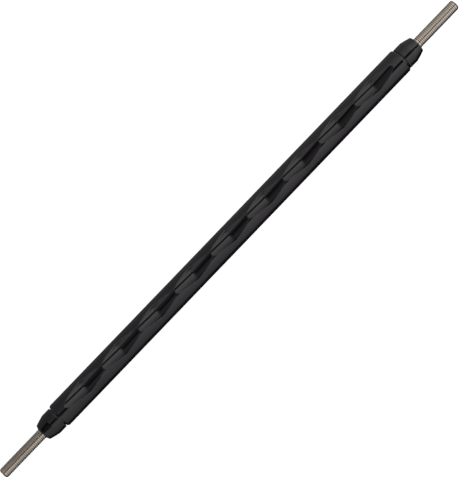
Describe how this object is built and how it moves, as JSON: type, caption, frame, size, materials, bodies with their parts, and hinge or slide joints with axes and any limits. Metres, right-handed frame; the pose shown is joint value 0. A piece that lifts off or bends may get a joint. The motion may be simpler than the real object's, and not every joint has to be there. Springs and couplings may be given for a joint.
{
  "type": "spring bar tool",
  "caption": "Double-ended spring bar tool: black scooped-grip handle with tapered collet nuts and reversible ribbed tip rods, fork and pin stowed inside.",
  "frame": {"origin": "middle of the handle's axis, the centre of the whole tool", "axes": "+X along the tool towards the pin end, +Z out through the middle of one row of grip recesses"},
  "size_m": [0.17, 0.0072, 0.0072],
  "materials": {
    "handle": "black anodised, satin",
    "nose": "black anodised, satin",
    "holder": "dark steel, turned",
    "collet": "turned brass",
    "rod": "ribbed stainless steel",
    "tip": "hardened and ground steel"
  },
  "bodies": {
    "handle": {"handle": "handle", "pin_collet_holder": "holder", "fork_collet_holder": "holder"},
    "pin_collet": {"pin_collet": "collet"},
    "pin_nose": {"pin_nose_nut": "nose"},
    "pin_tip": {"pin_tip_rod": "rod", "pin_point": "tip"},
    "fork_collet": {"fork_collet": "collet"},
    "fork_nose": {"fork_nose_nut": "nose"},
    "fork_tip": {"fork_tip_rod": "rod", "fork_blade": "tip"}
  },
  "joints": [
    {"name": "pin_collet_travel", "type": "slide", "parent": "handle", "child": "pin_collet", "axis": [1, 0, 0], "range_m": [0, 0.0025]},
    {"name": "pin_nose_turn", "type": "hinge", "parent": "pin_collet", "child": "pin_nose", "pos_m": [0.0675, 0, 0], "axis": [1, 0, 0], "range_deg": [0, 1800]},
    {"name": "pin_tip_slide", "type": "slide", "parent": "handle", "child": "pin_tip", "axis": [1, 0, 0], "range_m": [-0.0035, 0.0235]},
    {"name": "fork_collet_travel", "type": "slide", "parent": "handle", "child": "fork_collet", "axis": [-1, 0, 0], "range_m": [0, 0.0025]},
    {"name": "fork_nose_turn", "type": "hinge", "parent": "fork_collet", "child": "fork_nose", "pos_m": [-0.0675, 0, 0], "axis": [-1, 0, 0], "range_deg": [0, 1800]},
    {"name": "fork_tip_slide", "type": "slide", "parent": "handle", "child": "fork_tip", "axis": [-1, 0, 0], "range_m": [-0.0035, 0.0235]}
  ],
  "couplings": [
    {"joint": "pin_nose_turn", "follows": "pin_collet_travel", "rad_per_m": 12566},
    {"joint": "fork_nose_turn", "follows": "fork_collet_travel", "rad_per_m": 12566}
  ]
}
